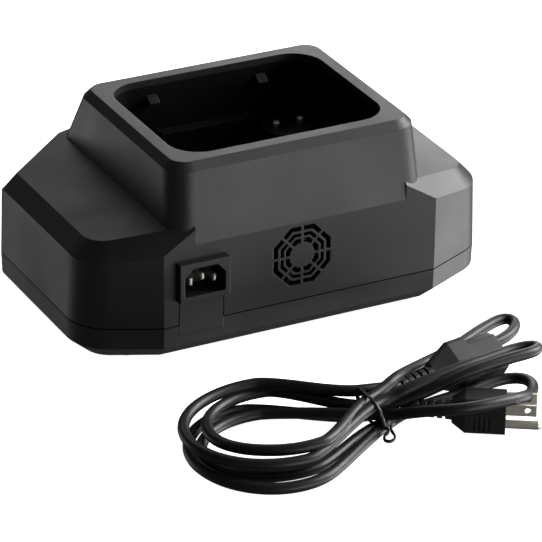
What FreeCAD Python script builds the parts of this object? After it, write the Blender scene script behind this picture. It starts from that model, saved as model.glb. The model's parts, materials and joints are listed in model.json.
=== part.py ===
import FreeCAD, Part
import math
import os

# Desktop charging base: a two-piece case with a deep well, a fan behind an octagonal
# grille, a mains inlet on a tongue of the lower case, and a loose mains lead beside it.
# Millimetres. +Z is up, -Y is the side with the inlet and the fan, +Y is the user's side.
# The origin is the centre of the case's footprint (inlet included), on the surface it stands on.

# ---- case: overall sizes -----------------------------------------------------------
CASE_WIDTH = 246.0          # across the two side faces, at the parting line
CASE_DEPTH = 154.2          # rear face to user's face
CASE_TOP = 112.0            # rim of the well above the table
WALL = 2.6                  # moulded wall
FOOT_DROP = 1.5             # how far the feet hold the case off the table
PART_LINE_Z = 22.6          # where the lower case ends
SEAM = 0.3                  # gap between the two case halves
REAR_FLAT = 164.0           # width of the flat rear face
FRONT_FLAT = 158.6          # width of the flat user's face
REAR_SWEEP = 24.9           # degrees that the rear corner faces turn back
FRONT_SWEEP = 33.6          # the same at the user's side
SIDE_LEAN = 2.5             # degrees that the side faces lean in
REAR_CORNER_R = 26.0        # plan radius between swept face and side face, rear
FRONT_CORNER_R = 8.0        # the same at the user's side
EDGE_R = 1.0                # plan radius of the flat rear face's two edges
FLANGE_OUT = 4.8            # how far the inlet stands out of the rear face

# ---- lower case --------------------------------------------------------------------
BOTTOM_CHAMFER_IN = 10.4
BOTTOM_CHAMFER_UP = 8.9
LOWER_DRAFT = 0.4           # lower wall leans in by this between parting line and chamfer
FLOOR_T = 2.5
TONGUE_W = 26.2
TONGUE_CLEAR = 0.2
VENT_SLOT_W = 2.4
VENT_SLOT_L = 30.0
VENT_PITCH = 6.0

# ---- wings and tower ---------------------------------------------------------------
WING_TOP_Z = 75.3           # wing's top plane where it is level with the rear edge
WING_FALL = 11.2            # degrees that the wing's top falls outward
WING_CHAMFER_IN = 8.4
WING_CHAMFER_SIDE = 34.5    # degrees of the chamfer from the wing's top plane, side face
WING_CHAMFER_SWEPT = 44.7   # the same on the swept faces
TOWER_TO_REAR = 67.2        # centre of the tower to the rear face
TOWER_TOP_W = 148.4         # at the top chamfer's lower edge
TOWER_TOP_D = 121.8
TOWER_CORNER_R = 13.0
TOWER_SIDE_LEAN = 3.6
TOWER_REAR_LEAN = 9.1
TOWER_FRONT_LEAN = 30.8
TOP_CHAMFER = 4.2
WING_CAP_DEEP = 62.0        # the chamfered cap reaches this far below the wing's top
TOWER_FOOT_Z = 60.0         # the tower's walls end here, inside the wings
SKIRT_TOP_Z = 96.0          # the upright walls are cut off by the wings and tower below this
WING_OVERLAP = 6.0          # centre block runs this far under the wings
CHAMFER_DRAW = 0.4          # inside, a chamfer draws in by this share of the wall

# ---- well --------------------------------------------------------------------------
WELL_W = 126.0
WELL_D = 99.0
WELL_R = 18.0
LIP_T = 2.2                 # thickness of the collar round the opening
LIP_DOWN = 4.2              # collar's depth below the rim
WELL_FLOOR_Z = 64.0
LINER_T = 2.0
LINER_CLEAR = 0.4
LEDGE_W = 59.0
LEDGE_TOP_Z = 80.0
LEDGE_OUT = 6.0
BOSS_R = 15.5
BOSS_X = WELL_W / 2 - 23.0     # 23 mm in from the well's side
BOSS_Y = 27.0               # from the tower's centre
BOSS_TOP_Z = 80.0
PIN_R = 2.2                 # sprung contact pins in the boss
PIN_OUT = 3.0
PIN_PITCH = 15.0
RUN_CLEAR = 0.06            # radial clearance of a running fit
PIN_FLANGE_R = 3.2
PIN_FLANGE_T = 1.0
BOSS_CAP_T = 2.4
LATCH_X = 33.5
LATCH_Z = 100.5
LATCH_W = 6.0
LATCH_H = 5.0
LATCH_NOSE = 5.0            # how far the nose reaches into the well
LATCH_HEAD = 2.2            # thick head behind the wall that stops the nose
LATCH_SIDE = 1.6            # the head is this much wider than the nose, each side
SLIDE_CLEAR = 0.25
GUIDE_T = 1.2
GUIDE_DEPTH = 7.6
SPRING_WIRE = 0.5

# ---- fan and grille ----------------------------------------------------------------
FAN_SIZE = 40.0
FAN_DEPTH = 10.0
FAN_GAP = 0.15              # frame clear of the rear wall
FAN_Z = 48.8
FAN_BORE_R = 18.8
FAN_PITCH = 32.0            # screw square
ROTOR_R = 18.0
HUB_R = 8.5
SHAFT_R = 1.0
BLADES = 7
BLADE_PITCH = 36.0
GRILLE_RINGS = ((17.2, 14.5), (13.1, 11.1), (9.9, 7.5))   # outer and inner apothem of each slot
GRILLE_RIB = 1.4

# ---- inlet -------------------------------------------------------------------------
INLET_X = -60.0
INLET_Z = 48.8
INLET_FLANGE_W = 29.2
INLET_FLANGE_H = 22.6
INLET_CAVITY_W = 24.0
INLET_CAVITY_H = 16.4
INLET_CAVITY_DEEP = 16.0
INLET_BODY_W = 25.6
INLET_BODY_H = 19.6
INLET_BACK = 18.0           # body behind the rear face
BLADE_GAP = 7.0             # line and neutral pins either side of the centre
EARTH_UP = 2.0

# ---- inside ------------------------------------------------------------------------
BOARD_Z = 14.0
BOARD_T = 1.6
BOARD_W = 176.0
BOARD_D = 92.0
BOARD_Y = 8.0
SCREW_R = 1.5
SCREW_HEAD_R = 3.0
SCREW_HEAD_T = 2.2
BOSS_WALL = 2.2
FOOT_R = 7.0
FOOT_SEAT = 1.0
CORE_X = -38.0              # transformer: laminated core with a middle leg
CORE_Y = 22.0
CORE_W = 48.0
CORE_D = 20.0
CORE_H = 38.0
CORE_LEG = 14.0
WINDING_OUT = 9.0
BOBBIN_T = 1.5
SINK_X = 42.0               # heatsink: a plate with fins
SINK_Y = 34.0
SINK_W = 56.0
SINK_H = 30.0
SINK_T = 3.0
SINK_FINS = 8
FIN_T = 1.4
FIN_OUT = 14.0
PARTS_Y = -20.0             # row of tall parts along the board's rear edge
CAPACITORS = ((6.0, 9.0, 34.0), (28.0, 9.0, 34.0), (48.0, 6.5, 26.0))   # x, radius, height
CAN_GROOVE_UP = 4.0
CAN_GROOVE_R = 0.9
FILTER_X = -66.0            # line filter: a wound ring on a base plate
FILTER_RING_R = 9.0
FILTER_WOUND_R = 4.5
FILTER_BASE = 20.0
FILTER_BASE_T = 2.0
FUSE_X = -72.0
FUSE_Y = 36.0
FUSE_LONG = 20.0
FUSE_R = 2.6
FUSE_UP = 5.0
TRANSISTOR_W = 10.0
TRANSISTOR_PITCH = 32.0
LEG_PITCH = 2.5

# ---- mains lead --------------------------------------------------------------------
CORD_D = 6.2
HANK_TOP = 15.0
TIE_W = 4.0
TIE_T = 0.8
BUNDLE_W = 19.0             # the strands side by side where the tie holds them
BUNDLE_H = 18.6
CONNECTOR_W = 25.0
CONNECTOR_H = 17.0
CONNECTOR_ANGLE = 10.0
CONNECTOR_ROLL = 30.0
CONNECTOR_BACK = 26.0       # moulded grip behind the inserted part
CONNECTOR_NOSE = 19.0
PLUG_W = 18.0
PLUG_H = 20.0
PLUG_ANGLE = -32.0
PLUG_BODY = 33.0
BLADE_LONG = 16.2
BLADE_TALL = 6.3
BLADE_THICK = 1.5
BLADE_HALF_GAP = 6.35
GROUND_R = 2.4
GROUND_DOWN = 11.9
GROUND_LONG = 19.0
RELIEF_LONG = 20.0
TIE_PLACE = (-13.0, -178.0)
RELIEF_START = (8.9, -169.5, 12.7)
PLUG_START = (6.1, -188.6, 10.2)
LEAD_LIFT = 0.3             # closed shape of the tied cord clear of the table
LOOP_ROOT_X = -1.0          # the three loops leave the tied neck here
NECK_BACK = 9.0
NECK_ON = 13.0

# ---- derived places ----------------------------------------------------------------
REAR_Y = FLANGE_OUT - (CASE_DEPTH + FLANGE_OUT) / 2
FRONT_Y = REAR_Y + CASE_DEPTH
TOWER_Y = REAR_Y + TOWER_TO_REAR
CHAMFER_Z = FOOT_DROP + BOTTOM_CHAMFER_UP
WING_SPLIT_X = TOWER_TOP_W / 2 - TOWER_CORNER_R + 2
BOARD_TOP = BOARD_Z + BOARD_T
ALONG_X = FreeCAD.Rotation(FreeCAD.Vector(1, 1, 1), 120)    # carries +Z to +X, +X to +Y


def tan(degrees):
    return math.tan(math.radians(degrees))


def box(x0, x1, y0, y1, z0, z1):
    return Part.makeBox(x1 - x0, y1 - y0, z1 - z0, FreeCAD.Vector(x0, y0, z0))


def cylinder(radius, start, end):
    start = FreeCAD.Vector(*start)
    along = FreeCAD.Vector(*end) - start
    return Part.makeCylinder(radius, along.Length, start, along)


def fused(shapes):
    shapes = list(shapes)
    if len(shapes) == 1:
        return shapes[0]
    return shapes[0].multiFuse(shapes[1:]).removeSplitter()


def round_edges_above(shape, z):
    """The circular edges that lie wholly above a height."""
    return [edge for edge in shape.Edges
            if edge.Curve.TypeId == "Part::GeomCircle" and edge.BoundBox.ZMin > z]


def mirrored_x(shape):
    return shape.mirror(FreeCAD.Vector(0, 0, 0), FreeCAD.Vector(1, 0, 0))


def shifted(corners, insets):
    """Corners (x, y, radius), counter-clockwise; edge i, from corner i to i + 1, moves in by insets[i]."""
    count = len(corners)
    lines = []
    for i in range(count):
        ax, ay, _ = corners[i]
        bx, by, _ = corners[(i + 1) % count]
        length = math.hypot(bx - ax, by - ay)
        nx, ny = (by - ay) / length, (ax - bx) / length
        lines.append((nx, ny, nx * ax + ny * ay - insets[i]))
    moved = []
    for i in range(count):
        ax, ay, ad = lines[i - 1]
        bx, by, bd = lines[i]
        det = ax * by - ay * bx
        x = (ad * by - bd * ay) / det
        y = (ax * bd - bx * ad) / det
        radius = corners[i][2] - (insets[i - 1] + insets[i]) / 2
        moved.append((x, y, max(radius, 0.4)))
    return moved


def inset(corners, distance):
    return shifted(corners, [distance] * len(corners))


def wire(corners, z):
    """A closed wire at height z through the corners, each rounded by its radius."""
    count = len(corners)
    arcs = []
    for i in range(count):
        px, py, _ = corners[i - 1]
        x, y, radius = corners[i]
        qx, qy, _ = corners[(i + 1) % count]
        back = FreeCAD.Vector(px - x, py - y, 0).normalize()
        on = FreeCAD.Vector(qx - x, qy - y, 0).normalize()
        half = back.getAngle(on) / 2
        tangent = radius / math.tan(half)
        middle = (back + on).normalize()
        corner = FreeCAD.Vector(x, y, z)
        centre = corner + middle * (radius / math.sin(half))
        arcs.append((corner + back * tangent, centre - middle * radius, corner + on * tangent))
    edges = []
    for i in range(count):
        edges.append(Part.Arc(*arcs[i]).toShape())
        edges.append(Part.makeLine(arcs[i][2], arcs[(i + 1) % count][0]))
    return Part.Wire(edges)


def prism(corners, z0, z1):
    return Part.Face(wire(corners, z0)).extrude(FreeCAD.Vector(0, 0, z1 - z0))


def frustum(low, z0, high, z1):
    return Part.makeLoft([wire(low, z0), wire(high, z1)], True, True)


def rectangle(x0, x1, y0, y1, radius):
    return [(x0, y0, radius), (x1, y0, radius), (x1, y1, radius), (x0, y1, radius)]


def case_outline(half_width):
    """The case's plan outline, with side faces at this half width."""
    rear_x = REAR_FLAT / 2
    front_x = FRONT_FLAT / 2
    side_rear_y = REAR_Y + (half_width - rear_x) * tan(REAR_SWEEP)
    side_front_y = FRONT_Y - (half_width - front_x) * tan(FRONT_SWEEP)
    return [
        (-rear_x, REAR_Y, EDGE_R),
        (rear_x, REAR_Y, EDGE_R),
        (half_width, side_rear_y, REAR_CORNER_R),
        (half_width, side_front_y, FRONT_CORNER_R),
        (front_x, FRONT_Y, FRONT_CORNER_R),
        (-front_x, FRONT_Y, FRONT_CORNER_R),
        (-half_width, side_front_y, FRONT_CORNER_R),
        (-half_width, side_rear_y, REAR_CORNER_R),
    ]


def skirt(thickness, z0, z1):
    """The case's walls: swept faces upright, side faces leaning in."""
    def at(z):
        half_width = CASE_WIDTH / 2 - (z - PART_LINE_Z) * tan(SIDE_LEAN)
        return inset(case_outline(half_width), thickness)
    return frustum(at(z0), z0, at(z1), z1)


def wing_cap(thickness):
    """Everything under the right wing's sloping top and its chamfer."""
    rear_x = REAR_FLAT / 2
    start_y = REAR_Y - rear_x * tan(REAR_SWEEP)
    half_width = CASE_WIDTH / 2 - (WING_TOP_Z - PART_LINE_Z) * tan(SIDE_LEAN) + 0.6
    plan = case_outline(half_width)
    fall = math.cos(math.radians(WING_FALL))
    ring = [(-rear_x, start_y, EDGE_R)]
    for x, y, radius in plan[2:5]:
        ring.append(((x - rear_x) / fall, y, radius))
    ring.append((-rear_x, FRONT_Y, EDGE_R))
    swept = WING_CAP_DEEP / tan(WING_CHAMFER_SWEPT) - WING_CHAMFER_IN
    side = WING_CAP_DEEP / tan(WING_CHAMFER_SIDE) - WING_CHAMFER_IN
    draw = CHAMFER_DRAW * thickness
    top = inset(ring, WING_CHAMFER_IN + draw)
    low = shifted(ring, [draw - out for out in (swept, side, swept, swept, 0.0)])
    top[0] = (-rear_x, top[0][1], EDGE_R)
    low[0] = (-rear_x, low[0][1], EDGE_R)
    top[4] = (-rear_x, top[4][1], EDGE_R)
    low[4] = (-rear_x, low[4][1], EDGE_R)
    cap = frustum(low, -WING_CAP_DEEP, top, 0.0)
    place = FreeCAD.Vector(rear_x, 0, WING_TOP_Z - thickness)
    cap.Placement = FreeCAD.Placement(place, FreeCAD.Rotation(FreeCAD.Vector(0, 1, 0), WING_FALL))
    return cap


def tower(thickness):
    """The leaning tower that holds the well, with its top chamfer."""
    shoulder = CASE_TOP - TOP_CHAMFER

    def at(z, extra):
        drop = shoulder - z
        half = TOWER_TOP_W / 2 + drop * tan(TOWER_SIDE_LEAN) - thickness - extra
        rear = TOWER_Y - TOWER_TOP_D / 2 - drop * tan(TOWER_REAR_LEAN) + thickness + extra
        front = TOWER_Y + TOWER_TOP_D / 2 + drop * tan(TOWER_FRONT_LEAN) - thickness - extra
        return rectangle(-half, half, rear, front, max(TOWER_CORNER_R - thickness - extra, 2.0))

    neck = shoulder - CHAMFER_DRAW * thickness
    top = CASE_TOP - thickness
    body = frustum(at(TOWER_FOOT_Z, 0), TOWER_FOOT_Z, at(neck, 0), neck)
    crown = frustum(at(neck, 0), neck, at(neck, top - neck), top)
    limit = box(-CASE_WIDTH, CASE_WIDTH, REAR_Y + thickness, FRONT_Y - thickness, 0, CASE_TOP)
    return fused([body, crown]).common(limit)


def case_solid(thickness, z0):
    """The upper case's whole volume, drawn in by a wall thickness."""
    walls = skirt(thickness, z0, SKIRT_TOP_Z)
    half = WING_SPLIT_X + WING_OVERLAP
    centre = walls.common(box(-half, half, REAR_Y, FRONT_Y, z0, TOWER_FRONT_FOOT_Z))
    reach = box(WING_SPLIT_X, CASE_WIDTH, REAR_Y, FRONT_Y, z0, CASE_TOP)
    wing = walls.common(wing_cap(thickness)).common(reach)
    return fused([centre, wing, mirrored_x(wing), tower(thickness)])


TOWER_FRONT_FOOT_Z = (CASE_TOP - TOP_CHAMFER
                      - (FRONT_Y - TOWER_Y - TOWER_TOP_D / 2) / tan(TOWER_FRONT_LEAN))

# ---- places that several pieces share ------------------------------------------------
SCREW_PLACES = [(side * 100.0, y) for side in (-1, 1) for y in (REAR_Y + 36.0, FRONT_Y - 46.0)]
FOOT_PLACES = [(side * 92.0, y) for side in (-1, 1) for y in (REAR_Y + 26.0, FRONT_Y - 34.0)]
BOARD_PLACES = [(side * 80.0, BOARD_Y + end * 40.0) for side in (-1, 1) for end in (-1, 1)]
POST_SPLIT_Z = 20.0
SCREW_SEAT_Z = 12.0
SCREW_END_Z = 30.0
FAN_Y = REAR_Y + WALL + FAN_GAP
FAN_PIN_R = 1.9
FAN_PIN_END = FAN_Y + FAN_DEPTH + 1.2
LINER_TOP_Z = CASE_TOP - LIP_DOWN - 0.2
LINER_HALF_W = WELL_W / 2 + LINER_CLEAR
LINER_HALF_D = WELL_D / 2 + LINER_CLEAR
WELL_BACK_Y = TOWER_Y + LINER_HALF_D
BOSS_PLACE = (BOSS_X, TOWER_Y + BOSS_Y)
PIN_PLACES = [(BOSS_X + side * PIN_PITCH / 2, TOWER_Y + BOSS_Y) for side in (-1, 1)]
PIN_SEAT_Z = WELL_FLOOR_Z + 4.0
PIN_FLANGE_Z = BOSS_TOP_Z - BOSS_CAP_T - 0.1
PIN_TAIL_R = 1.2
GUIDE_START_Y = WELL_BACK_Y + LINER_T
GUIDE_END_Y = GUIDE_START_Y + GUIDE_DEPTH
LATCH_BACK_Y = GUIDE_START_Y + 0.1 + LATCH_HEAD
INLET_FRONT_Y = REAR_Y - FLANGE_OUT
LENS_R = 3.0
LENS_PLACES = (-14.0, 0.0, 14.0)
LENS_Z = CASE_TOP - 26.0
LENS_Y = TOWER_Y + TOWER_TOP_D / 2 + (CASE_TOP - TOP_CHAMFER - LENS_Z) * tan(TOWER_FRONT_LEAN)
LENS_OUT = FreeCAD.Vector(0, math.cos(math.radians(TOWER_FRONT_LEAN)),
                          math.sin(math.radians(TOWER_FRONT_LEAN)))


def on_slope(x, along, out):
    """A point on the user's slope: along it upward, and out of it, from the lens line."""
    up = FreeCAD.Vector(0, -LENS_OUT.z, LENS_OUT.y)
    return FreeCAD.Vector(x, LENS_Y, LENS_Z) + up * along + LENS_OUT * out


def slope_box(x0, x1, low, high, deep, out):
    """A block that lies parallel to the user's slope."""
    block = Part.makeBox(x1 - x0, out - deep, high - low)
    block.translate(FreeCAD.Vector(0, deep, low))
    turn = FreeCAD.Rotation(FreeCAD.Vector(1, 0, 0), TOWER_FRONT_LEAN)
    block.Placement = FreeCAD.Placement(FreeCAD.Vector(x0, LENS_Y, LENS_Z), turn).multiply(block.Placement)
    return block


def octagon(apothem, y0, y1):
    """An eight-sided prism along Y round the fan's axis, flat side down."""
    reach = apothem / math.cos(math.pi / 8)
    points = []
    for i in range(9):
        angle = math.pi / 8 + i * math.pi / 4
        points.append(FreeCAD.Vector(reach * math.cos(angle), y0, FAN_Z + reach * math.sin(angle)))
    return Part.Face(Part.makePolygon(points)).extrude(FreeCAD.Vector(0, y1 - y0, 0))


def grille_slots():
    """Three rings of slots through the rear wall, crossed by eight spokes."""
    y0, y1 = REAR_Y - 1, REAR_Y + WALL + 1
    rings = []
    for outer, inner in GRILLE_RINGS[:2]:
        rings.append(octagon(outer, y0, y1).cut(octagon(inner, y0, y1)))
    outer, inner = GRILLE_RINGS[2]
    rings.append(octagon(outer, y0, y1).cut(cylinder(inner, (0, y0, FAN_Z), (0, y1, FAN_Z))))
    spokes = []
    reach = GRILLE_RINGS[0][0] + 2
    for i in range(4):
        spoke = box(-reach, reach, y0, y1, FAN_Z - GRILLE_RIB / 2, FAN_Z + GRILLE_RIB / 2)
        spoke.rotate(FreeCAD.Vector(0, 0, FAN_Z), FreeCAD.Vector(0, 1, 0), i * 45.0)
        spokes.append(spoke)
    return Part.makeCompound(rings).cut(fused(spokes))


def tongue_notch():
    half = TONGUE_W / 2 + TONGUE_CLEAR
    top = INLET_Z + INLET_BODY_H / 2 + TONGUE_CLEAR
    return box(INLET_X - half, INLET_X + half, REAR_Y - 1, REAR_Y + WALL + 1, PART_LINE_Z - 2, top)


def upper_case():
    outer = case_solid(0.0, PART_LINE_Z + SEAM / 2)
    shell = outer.cut(case_solid(WALL, PART_LINE_Z - 5))
    well = rectangle(-WELL_W / 2, WELL_W / 2, TOWER_Y - WELL_D / 2, TOWER_Y + WELL_D / 2, WELL_R)
    collar = prism(inset(well, -LIP_T), CASE_TOP - LIP_DOWN, CASE_TOP - WALL / 2)
    shell = shell.fuse(collar).cut(prism(well, CASE_TOP - LIP_DOWN - 1, CASE_TOP + 1))
    shell = shell.cut(grille_slots()).cut(tongue_notch())
    ceiling = case_solid(WALL / 2, PART_LINE_Z - 5)
    posts = []
    for x, y in SCREW_PLACES:
        post = cylinder(SCREW_R + BOSS_WALL, (x, y, POST_SPLIT_Z), (x, y, WING_TOP_Z))
        posts.append(post.common(ceiling))
    for x in (-FAN_PITCH / 2, FAN_PITCH / 2):
        for z in (FAN_Z - FAN_PITCH / 2, FAN_Z + FAN_PITCH / 2):
            posts.append(cylinder(FAN_PIN_R, (x, REAR_Y + WALL / 2, z), (x, FAN_PIN_END, z)))
    shell = fused([shell] + posts)
    for x, y in SCREW_PLACES:
        shell = shell.cut(cylinder(SCREW_R, (x, y, POST_SPLIT_Z - 1), (x, y, SCREW_END_Z + 1)))
    for x in LENS_PLACES:
        shell = shell.cut(cylinder(LENS_R, on_slope(x, 0, -WALL - 2), on_slope(x, 0, 2)))
    return shell


def lower_shape(thickness):
    """The tray's volume: a chamfered foot under a wall with a little draft."""
    plan = case_outline(CASE_WIDTH / 2)
    bottom = FOOT_DROP + (FLOOR_T if thickness else 0)
    foot = inset(plan, LOWER_DRAFT + BOTTOM_CHAMFER_IN + thickness)
    knee = inset(plan, LOWER_DRAFT + thickness)
    rim = inset(plan, thickness)
    top = PART_LINE_Z - SEAM / 2 + (1 if thickness else 0)
    return fused([frustum(foot, bottom, knee, CHAMFER_Z), frustum(knee, CHAMFER_Z, rim, top)])


def tongue():
    half = TONGUE_W / 2
    top = INLET_Z - INLET_BODY_H / 2
    plate = box(INLET_X - half, INLET_X + half, REAR_Y, REAR_Y + WALL, PART_LINE_Z - 6, top)
    ribs = []
    for side in (-1, 1):
        x = INLET_X + side * (half - 2)
        rib = box(x - 1, x + 1, REAR_Y + WALL / 2, REAR_Y + 8, FOOT_DROP + FLOOR_T / 2 + 6, top - 2)
        ribs.append(rib)
    return fused([plate] + ribs)


def lower_case():
    tray = lower_shape(0.0).cut(lower_shape(WALL))
    tray = tray.fuse(tongue().common(box(-200, 200, REAR_Y, REAR_Y + 20, CHAMFER_Z, CASE_TOP)))
    pillars = []
    for x, y in SCREW_PLACES:
        pillars.append(cylinder(SCREW_HEAD_R + BOSS_WALL, (x, y, FOOT_DROP), (x, y, SCREW_SEAT_Z + 3)))
        pillars.append(cylinder(SCREW_R + BOSS_WALL, (x, y, FOOT_DROP), (x, y, POST_SPLIT_Z - SEAM)))
    for x, y in BOARD_PLACES:
        pillars.append(cylinder(3.4, (x, y, FOOT_DROP + FLOOR_T / 2), (x, y, BOARD_Z)))
    tray = fused([tray] + pillars)
    for x, y in SCREW_PLACES:
        tray = tray.cut(cylinder(SCREW_R + 0.2, (x, y, 0), (x, y, POST_SPLIT_Z + 1)))
        tray = tray.cut(cylinder(SCREW_HEAD_R + 0.3, (x, y, 0), (x, y, SCREW_SEAT_Z)))
    for x, y in BOARD_PLACES:
        tray = tray.cut(cylinder(SCREW_R, (x, y, BOARD_Z - 6), (x, y, BOARD_Z + 1)))
    for x, y in FOOT_PLACES:
        tray = tray.cut(cylinder(FOOT_R, (x, y, 0), (x, y, FOOT_DROP + FOOT_SEAT)))
    slots = []
    for side in (-1, 1):
        for i in range(7):
            x = side * 40.0 + (i - 3) * VENT_PITCH
            y = BOARD_Y + 10
            ends = rectangle(x - VENT_SLOT_W / 2, x + VENT_SLOT_W / 2, y, y + VENT_SLOT_L, VENT_SLOT_W / 2.01)
            slots.append(prism(ends, 0, FOOT_DROP + FLOOR_T + 1))
    return tray.cut(Part.makeCompound(slots))


def rubber_feet():
    feet = []
    for x, y in FOOT_PLACES:
        low = Part.makeCone(FOOT_R - 1.0, FOOT_R, 1.0, FreeCAD.Vector(x, y, 0))
        feet.append(low.fuse(cylinder(FOOT_R, (x, y, 1.0), (x, y, FOOT_DROP + FOOT_SEAT))))
    return Part.makeCompound(feet)


def screw(x, y, seat_z, end_z, up):
    """A pan-head screw whose head sits at seat_z; up is 1 if it is driven upward."""
    head = cylinder(SCREW_HEAD_R, (x, y, seat_z - up * SCREW_HEAD_T), (x, y, seat_z))
    shank = cylinder(SCREW_R, (x, y, seat_z - up * 0.5), (x, y, end_z))
    cross = [box(x - 1.6, x + 1.6, y - 0.35, y + 0.35, -0.6, 0.6),
             box(x - 0.35, x + 0.35, y - 1.6, y + 1.6, -0.6, 0.6)]
    slot = fused(cross)
    slot.translate(FreeCAD.Vector(0, 0, seat_z - up * (SCREW_HEAD_T - 0.2)))
    return head.fuse(shank).cut(slot)


def case_screws():
    return Part.makeCompound([screw(x, y, SCREW_SEAT_Z, SCREW_END_Z, 1) for x, y in SCREW_PLACES])


def well_liner():
    """The black tub of the well, with the ledge, the boss's seat and the latch guides."""
    hw, hd = LINER_HALF_W, LINER_HALF_D
    inner = rectangle(-hw, hw, TOWER_Y - hd, TOWER_Y + hd, WELL_R)
    tub = prism(inset(inner, -LINER_T), WELL_FLOOR_Z - LINER_T, LINER_TOP_Z)
    tub = tub.cut(prism(inner, WELL_FLOOR_Z, LINER_TOP_Z + 1))
    half = LEDGE_W / 2
    ledge = box(-half, half, WELL_BACK_Y - LEDGE_OUT, WELL_BACK_Y + LINER_T / 2,
                WELL_FLOOR_Z - 1, LEDGE_TOP_Z)
    ledge = ledge.cut(box(-half + 2, half - 2, WELL_BACK_Y - LEDGE_OUT + 2, WELL_BACK_Y + LINER_T,
                          WELL_FLOOR_Z - 3, LEDGE_TOP_Z - 2))
    guides = []
    wide = LATCH_W / 2 + LATCH_SIDE + SLIDE_CLEAR
    tall = LATCH_H / 2 + SLIDE_CLEAR
    for x in (-LATCH_X, LATCH_X):
        block = box(x - wide - GUIDE_T, x + wide + GUIDE_T, GUIDE_START_Y - LINER_T / 2, GUIDE_END_Y,
                    LATCH_Z - tall - GUIDE_T, LATCH_Z + tall + GUIDE_T)
        guides.append(block)
    tub = fused([tub, ledge] + guides)
    for x in (-LATCH_X, LATCH_X):
        tub = tub.cut(box(x - wide, x + wide, GUIDE_START_Y, GUIDE_END_Y - GUIDE_T,
                          LATCH_Z - tall, LATCH_Z + tall))
        nose = LATCH_W / 2 + SLIDE_CLEAR
        tub = tub.cut(box(x - nose, x + nose, WELL_BACK_Y - 1, GUIDE_START_Y + 1,
                          LATCH_Z - tall, LATCH_Z + tall))
    x, y = BOSS_PLACE
    return tub.cut(cylinder(BOSS_R - 3.5, (x, y, 0), (x, y, WELL_FLOOR_Z + 1)))


def contact_boss():
    """The round turret in the well's floor that carries the two sprung contact pins."""
    x, y = BOSS_PLACE
    body = cylinder(BOSS_R, (x, y, WELL_FLOOR_Z), (x, y, BOSS_TOP_Z))
    rim = round_edges_above(body, BOSS_TOP_Z - 1)
    body = body.makeFillet(1.2, rim)
    body = body.cut(cylinder(BOSS_R - 2.0, (x, y, WELL_FLOOR_Z - 1), (x, y, BOSS_TOP_Z - BOSS_CAP_T)))
    for px, py in PIN_PLACES:
        body = body.cut(cylinder(PIN_R + RUN_CLEAR, (px, py, BOSS_TOP_Z - 5), (px, py, BOSS_TOP_Z + 1)))
    return body


def contact_seat():
    """The plate under the boss that the contact springs push against."""
    x, y = BOSS_PLACE
    plate = cylinder(BOSS_R - 2.2, (x, y, WELL_FLOOR_Z), (x, y, PIN_SEAT_Z))
    for px, py in PIN_PLACES:
        plate = plate.cut(cylinder(PIN_TAIL_R + RUN_CLEAR, (px, py, 0), (px, py, PIN_SEAT_Z + 1)))
    return plate


def contact_pin(place):
    x, y = place
    top = BOSS_TOP_Z + PIN_OUT
    head = cylinder(PIN_R, (x, y, PIN_FLANGE_Z - PIN_FLANGE_T), (x, y, top))
    crown = round_edges_above(head, top - 0.5)
    head = head.makeFillet(PIN_R * 0.6, crown)
    flange = cylinder(PIN_FLANGE_R, (x, y, PIN_FLANGE_Z - PIN_FLANGE_T), (x, y, PIN_FLANGE_Z))
    tail = cylinder(PIN_TAIL_R, (x, y, PIN_SEAT_Z - 3), (x, y, PIN_FLANGE_Z))
    return fused([head, flange, tail])


def spring(radius, start, end, coils):
    """A helical spring from start to end, with its wire inside that length."""
    start = FreeCAD.Vector(*start)
    along = FreeCAD.Vector(*end) - start
    length = along.Length - SPRING_WIRE
    helix = Part.makeHelix(length / coils, length, radius)
    corners = []
    for i in range(9):
        angle = (i + 0.5) * math.pi / 4
        reach = SPRING_WIRE / 2
        corners.append(FreeCAD.Vector(radius + reach * math.cos(angle), 0, reach * math.sin(angle)))
    section = Part.makePolygon(corners)
    coil = Part.Wire(helix).makePipeShell([section], True, True)
    coil.translate(FreeCAD.Vector(0, 0, SPRING_WIRE / 2))
    place = FreeCAD.Placement(start, FreeCAD.Rotation(FreeCAD.Vector(0, 0, 1), along))
    coil.Placement = place.multiply(coil.Placement)
    return coil


def contact_spring(place):
    x, y = place
    return spring(2.2, (x, y, PIN_SEAT_Z + 0.05), (x, y, PIN_FLANGE_Z - PIN_FLANGE_T - 0.05), 5)


def latch(x):
    """A sprung catch: ramped nose through the well's wall, wide head behind it."""
    tip = WELL_BACK_Y - LATCH_NOSE
    half = LATCH_W / 2
    low, high = LATCH_Z - LATCH_H / 2, LATCH_Z + LATCH_H / 2
    profile = [(tip + 1.2, low), (GUIDE_START_Y + 1, low), (GUIDE_START_Y + 1, high),
               (WELL_BACK_Y + 0.6, high), (tip + 0.4, low + 1.6), (tip, low + 0.8)]
    points = [FreeCAD.Vector(x - half, y, z) for y, z in profile]
    nose = Part.Face(Part.makePolygon(points + points[:1])).extrude(FreeCAD.Vector(LATCH_W, 0, 0))
    wide = half + LATCH_SIDE
    head = box(x - wide, x + wide, GUIDE_START_Y + 0.1, LATCH_BACK_Y, low, high)
    return nose.fuse(head).removeSplitter()


def latch_spring(x):
    end = GUIDE_END_Y - GUIDE_T - 0.05
    return spring(1.6, (x, LATCH_BACK_Y + 0.05, LATCH_Z), (x, end, LATCH_Z), 2)


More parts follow.
